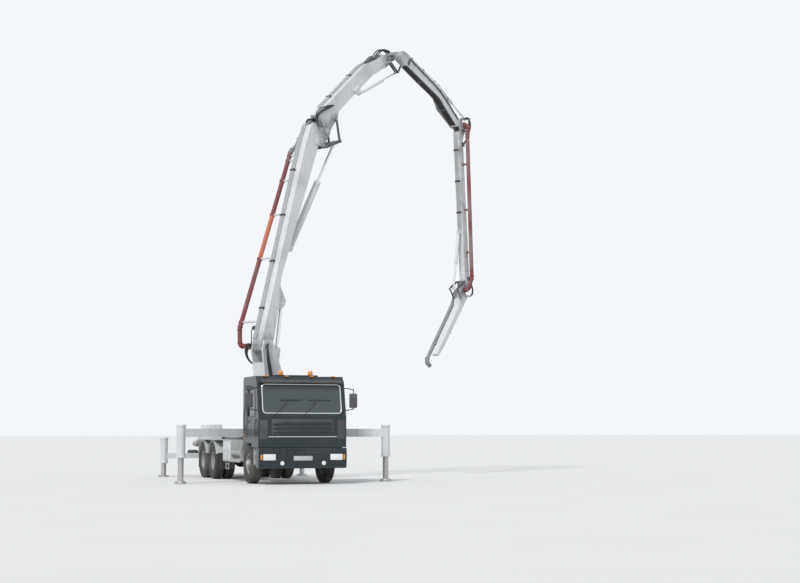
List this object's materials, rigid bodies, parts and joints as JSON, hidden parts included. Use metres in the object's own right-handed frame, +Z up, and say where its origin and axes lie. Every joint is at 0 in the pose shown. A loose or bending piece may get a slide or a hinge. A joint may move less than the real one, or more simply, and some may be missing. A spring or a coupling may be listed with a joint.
{
  "type": "concrete pump truck",
  "caption": "Truck-mounted concrete pump with a folding placing boom, delivery line, outriggers and hopper.",
  "frame": {"origin": "on the ground under the slewing axis of the boom", "axes": "+X to the truck's nose, +Y to its left side, +Z up"},
  "size_m": [9.6498, 10.7108, 13.3727],
  "materials": {
    "boom_white": "satin, dusty",
    "cab_green": "gloss",
    "chassis_dark": "satin",
    "deck_grey": "satin",
    "linkage_dark": "satin",
    "pipe_red": "worn",
    "pipe_grey": "worn",
    "jack_grey": "satin",
    "rod_chrome": "polished",
    "tyre": "matt",
    "glass": "clear",
    "interior": "matt"
  },
  "bodies": {
    "truck": {"chassis_frame": "chassis_dark", "axles": "chassis_dark", "cab_shell": "cab_green", "cab_glass": "glass", "cab_interior": "interior", "bumper": "cab_green", "engine": "chassis_dark", "pedestal": "deck_grey", "pump_unit": "jack_grey", "hopper": "boom_white", "body_sides": "deck_grey"},
    "boom_1": {"boom_1": "boom_white", "pipe_1": "pipe_red"},
    "boom_2": {"boom_2": "boom_white", "pipe_2": "pipe_grey"},
    "boom_3": {"boom_3": "boom_white", "pipe_3": "pipe_grey"},
    "boom_4": {"boom_4": "boom_white", "pipe_4": "pipe_red"},
    "boom_5": {"boom_5": "boom_white", "pipe_5": "pipe_grey"},
    "knuckle_left": {"knuckle_left": "chassis_dark"},
    "knuckle_right": {"knuckle_right": "chassis_dark"},
    "wheel_front_left": {"wheel_front_left": "tyre"},
    "wheel_front_right": {"wheel_front_right": "tyre"},
    "wheel_mid_left": {"wheel_mid_left": "tyre"},
    "wheel_mid_right": {"wheel_mid_right": "tyre"},
    "wheel_rear_left": {"wheel_rear_left": "tyre"},
    "wheel_rear_right": {"wheel_rear_right": "tyre"},
    "door_left": {"door_left": "cab_green"},
    "door_right": {"door_right": "cab_green"},
    "outrigger_front_left": {"outrigger_front_left": "boom_white"},
    "outrigger_front_right": {"outrigger_front_right": "boom_white"},
    "outrigger_rear_left": {"outrigger_rear_left": "boom_white"},
    "outrigger_rear_right": {"outrigger_rear_right": "boom_white"},
    "jack_front_left": {"jack_front_left": "jack_grey"},
    "jack_front_right": {"jack_front_right": "jack_grey"},
    "jack_rear_left": {"jack_rear_left": "jack_grey"},
    "jack_rear_right": {"jack_rear_right": "jack_grey"},
    "hopper_grate": {"hopper_grate": "chassis_dark"},
    "turret": {"turret": "boom_white"},
    "barrel_1": {"barrel_1": "boom_white"},
    "barrel_2": {"barrel_2": "boom_white"},
    "barrel_3": {"barrel_3": "boom_white"},
    "barrel_4": {"barrel_4": "boom_white"},
    "barrel_5": {"barrel_5": "boom_white"},
    "rod_1": {"rod_1": "rod_chrome"},
    "rod_2": {"rod_2": "rod_chrome"},
    "rod_3": {"rod_3": "rod_chrome"},
    "rod_4": {"rod_4": "rod_chrome"},
    "rod_5": {"rod_5": "rod_chrome"},
    "lever_2": {"lever_2": "linkage_dark"},
    "lever_3": {"lever_3": "linkage_dark"},
    "lever_4": {"lever_4": "linkage_dark"},
    "lever_5": {"lever_5": "linkage_dark"},
    "link_2": {"link_2": "linkage_dark"},
    "link_3": {"link_3": "linkage_dark"},
    "link_4": {"link_4": "linkage_dark"},
    "link_5": {"link_5": "linkage_dark"}
  },
  "joints": [
    {"name": "slew", "type": "hinge", "parent": "truck", "child": "turret", "pos_m": [0, 0, 1.64], "axis": [0, 0, 1], "range_deg": [-125, 245]},
    {"name": "boom_1", "type": "hinge", "parent": "turret", "child": "boom_1", "pos_m": [0.275, -0.47631, 3.86], "axis": [0.866, 0.5, 0], "range_deg": [-69.4, 20.6]},
    {"name": "boom_2", "type": "hinge", "parent": "boom_1", "child": "boom_2", "pos_m": [-0.95293, 1.65052, 10.3937], "axis": [-0.866, -0.5, 0], "range_deg": [-27.4, 149.6]},
    {"name": "boom_3", "type": "hinge", "parent": "boom_2", "child": "boom_3", "pos_m": [-2.44292, 4.23126, 13.21145], "axis": [-0.866, -0.5, 0], "range_deg": [-66.9, 110.1]},
    {"name": "boom_4", "type": "hinge", "parent": "boom_3", "child": "boom_4", "pos_m": [-3.50824, 7.23646, 11.46339], "axis": [0.866, 0.5, 0], "range_deg": [-21.6, 215.4]},
    {"name": "boom_5", "type": "hinge", "parent": "boom_4", "child": "boom_5", "pos_m": [-3.48884, 7.20285, 5.99736], "axis": [-0.866, -0.5, 0], "range_deg": [-39.8, 137.2]},
    {"name": "barrel_1", "type": "hinge", "parent": "turret", "child": "barrel_1", "pos_m": [0.1, -0.1732, 2.11], "axis": [0.866, 0.5, 0], "range_deg": [-30.82, 10.55]},
    {"name": "rod_1", "type": "slide", "parent": "barrel_1", "child": "rod_1", "axis": [-0.0695, 0.1204, 0.9903], "range_m": [-1.22226, 0.37687]},
    {"name": "lever_2", "type": "hinge", "parent": "boom_1", "child": "lever_2", "pos_m": [-0.86497, 1.49817, 9.92567], "axis": [-0.866, -0.5, 0], "range_deg": [-25.21, 128.73]},
    {"name": "link_2", "type": "hinge", "parent": "boom_2", "child": "link_2", "pos_m": [-1.15543, 2.00126, 10.82564], "axis": [-0.866, -0.5, 0], "range_deg": [-114.32, 22.57]},
    {"name": "barrel_2", "type": "hinge", "parent": "boom_1", "child": "barrel_2", "pos_m": [-0.26684, 0.46217, 6.74306], "axis": [-0.866, -0.5, 0], "range_deg": [-10.1, 3.48]},
    {"name": "rod_2", "type": "slide", "parent": "barrel_2", "child": "rod_2", "axis": [-0.2447, 0.4239, 0.872], "range_m": [-1.30419, 0.25521]},
    {"name": "lever_3", "type": "hinge", "parent": "boom_2", "child": "lever_3", "pos_m": [-2.33888, 4.05105, 13.02409], "axis": [-0.866, -0.5, 0], "range_deg": [-54.18, 87.88]},
    {"name": "link_3", "type": "hinge", "parent": "boom_3", "child": "link_3", "pos_m": [-2.59847, 4.50069, 13.0979], "axis": [-0.866, -0.5, 0], "range_deg": [-89.06, 54.9]},
    {"name": "barrel_3", "type": "hinge", "parent": "boom_2", "child": "barrel_3", "pos_m": [-1.66262, 2.87974, 11.80627], "axis": [-0.866, -0.5, 0], "range_deg": [-13.54, 9.01]},
    {"name": "rod_3", "type": "slide", "parent": "barrel_3", "child": "rod_3", "axis": [-0.435, 0.7535, 0.4929], "range_m": [-0.5703, 0.35438]},
    {"name": "lever_4", "type": "hinge", "parent": "boom_3", "child": "lever_4", "pos_m": [-3.40519, 7.05796, 11.65291], "axis": [0.866, 0.5, 0], "range_deg": [-14.04, 122.06]},
    {"name": "link_4", "type": "hinge", "parent": "boom_4", "child": "link_4", "pos_m": [-3.51522, 7.24854, 11.26387], "axis": [0.866, 0.5, 0], "range_deg": [-150.35, 16.88]},
    {"name": "barrel_4", "type": "hinge", "parent": "boom_3", "child": "barrel_4", "pos_m": [-2.88256, 6.15274, 12.61407], "axis": [0.866, 0.5, 0], "range_deg": [-10.02, 2.8]},
    {"name": "rod_4", "type": "slide", "parent": "barrel_4", "child": "rod_4", "axis": [-0.4268, 0.7393, -0.5209], "range_m": [-0.72419, 0.09061]},
    {"name": "lever_5", "type": "hinge", "parent": "boom_4", "child": "lever_5", "pos_m": [-3.47873, 7.18533, 6.28666], "axis": [-0.866, -0.5, 0], "range_deg": [-38.18, 126.73]},
    {"name": "link_5", "type": "hinge", "parent": "boom_5", "child": "link_5", "pos_m": [-3.39747, 7.04459, 5.6927], "axis": [-0.866, -0.5, 0], "range_deg": [-98.06, 29.87]},
    {"name": "barrel_5", "type": "hinge", "parent": "boom_4", "child": "barrel_5", "pos_m": [-3.42257, 7.08807, 7.89274], "axis": [-0.866, -0.5, 0], "range_deg": [-16.11, 6.09]},
    {"name": "rod_5", "type": "slide", "parent": "barrel_5", "child": "rod_5", "axis": [0.0711, -0.1232, -0.9898], "range_m": [-0.74429, 0.23011]},
    {"name": "steering_left", "type": "hinge", "parent": "truck", "child": "knuckle_left", "pos_m": [1.5, 0.79, 0.54], "axis": [0, 0, 1], "range_deg": [-30, 30]},
    {"name": "wheel_front_left", "type": "hinge", "parent": "knuckle_left", "child": "wheel_front_left", "pos_m": [1.5, 1.03, 0.54], "axis": [0, 1, 0], "continuous": true},
    {"name": "wheel_mid_left", "type": "hinge", "parent": "truck", "child": "wheel_mid_left", "pos_m": [-2.65, 0.92, 0.54], "axis": [0, 1, 0], "continuous": true},
    {"name": "wheel_rear_left", "type": "hinge", "parent": "truck", "child": "wheel_rear_left", "pos_m": [-4, 0.92, 0.54], "axis": [0, 1, 0], "continuous": true},
    {"name": "steering_right", "type": "hinge", "parent": "truck", "child": "knuckle_right", "pos_m": [1.5, -0.79, 0.54], "axis": [0, 0, 1], "range_deg": [-31, 31]},
    {"name": "wheel_front_right", "type": "hinge", "parent": "knuckle_right", "child": "wheel_front_right", "pos_m": [1.5, -1.03, 0.54], "axis": [0, 1, 0], "continuous": true},
    {"name": "wheel_mid_right", "type": "hinge", "parent": "truck", "child": "wheel_mid_right", "pos_m": [-2.65, -0.92, 0.54], "axis": [0, 1, 0], "continuous": true},
    {"name": "wheel_rear_right", "type": "hinge", "parent": "truck", "child": "wheel_rear_right", "pos_m": [-4, -0.92, 0.54], "axis": [0, 1, 0], "continuous": true},
    {"name": "leg_front_left", "type": "hinge", "parent": "truck", "child": "outrigger_front_left", "pos_m": [0.5, 0.95, 1.375], "axis": [0, 0, 1], "range_deg": [0, 103]},
    {"name": "jack_front_left", "type": "slide", "parent": "outrigger_front_left", "child": "jack_front_left", "axis": [0, 0, 1], "range_m": [0, 0.35]},
    {"name": "beam_rear_left", "type": "slide", "parent": "truck", "child": "outrigger_rear_left", "axis": [0, -1, 0], "range_m": [0, 1.12]},
    {"name": "jack_rear_left", "type": "slide", "parent": "outrigger_rear_left", "child": "jack_rear_left", "axis": [0, 0, 1], "range_m": [0, 0.35]},
    {"name": "door_left", "type": "hinge", "parent": "truck", "child": "door_left", "pos_m": [2.55, 1.237, 1.8], "axis": [0, 0, -1], "range_deg": [0, 70]},
    {"name": "leg_front_right", "type": "hinge", "parent": "truck", "child": "outrigger_front_right", "pos_m": [0.5, -0.95, 1.375], "axis": [0, 0, -1], "range_deg": [0, 103]},
    {"name": "jack_front_right", "type": "slide", "parent": "outrigger_front_right", "child": "jack_front_right", "axis": [0, 0, 1], "range_m": [0, 0.35]},
    {"name": "beam_rear_right", "type": "slide", "parent": "truck", "child": "outrigger_rear_right", "axis": [0, 1, 0], "range_m": [0, 1.12]},
    {"name": "jack_rear_right", "type": "slide", "parent": "outrigger_rear_right", "child": "jack_rear_right", "axis": [0, 0, 1], "range_m": [0, 0.35]},
    {"name": "door_right", "type": "hinge", "parent": "truck", "child": "door_right", "pos_m": [2.55, -1.237, 1.8], "axis": [0, 0, 1], "range_deg": [0, 70]},
    {"name": "hopper_grate", "type": "hinge", "parent": "truck", "child": "hopper_grate", "pos_m": [-5.43, 0, 1.437], "axis": [0, 1, 0], "range_deg": [0, 95]}
  ],
  "couplings": [
    {"joint": "barrel_1", "follows": "boom_1", "ratio": 0.41525},
    {"joint": "rod_1", "follows": "boom_1", "m_per_rad": 0.99257},
    {"joint": "lever_2", "follows": "boom_2", "ratio": 0.84712},
    {"joint": "link_2", "follows": "boom_2", "ratio": -0.75082},
    {"joint": "barrel_2", "follows": "boom_2", "ratio": -0.054157},
    {"joint": "rod_2", "follows": "boom_2", "m_per_rad": -0.49184},
    {"joint": "lever_3", "follows": "boom_3", "ratio": 0.78},
    {"joint": "link_3", "follows": "boom_3", "ratio": -0.79071},
    {"joint": "barrel_3", "follows": "boom_3", "ratio": -0.10483},
    {"joint": "rod_3", "follows": "boom_3", "m_per_rad": -0.28637},
    {"joint": "lever_4", "follows": "boom_4", "ratio": 0.55737},
    {"joint": "link_4", "follows": "boom_4", "ratio": -0.68873},
    {"joint": "barrel_4", "follows": "boom_4", "ratio": -0.037239},
    {"joint": "rod_4", "follows": "boom_4", "m_per_rad": -0.18731},
    {"joint": "lever_5", "follows": "boom_5", "ratio": 0.9091},
    {"joint": "link_5", "follows": "boom_5", "ratio": -0.70017},
    {"joint": "barrel_5", "follows": "boom_5", "ratio": -0.10285},
    {"joint": "rod_5", "follows": "boom_5", "m_per_rad": -0.30247},
    {"joint": "steering_right", "follows": "steering_left", "ratio": 1}
  ]
}
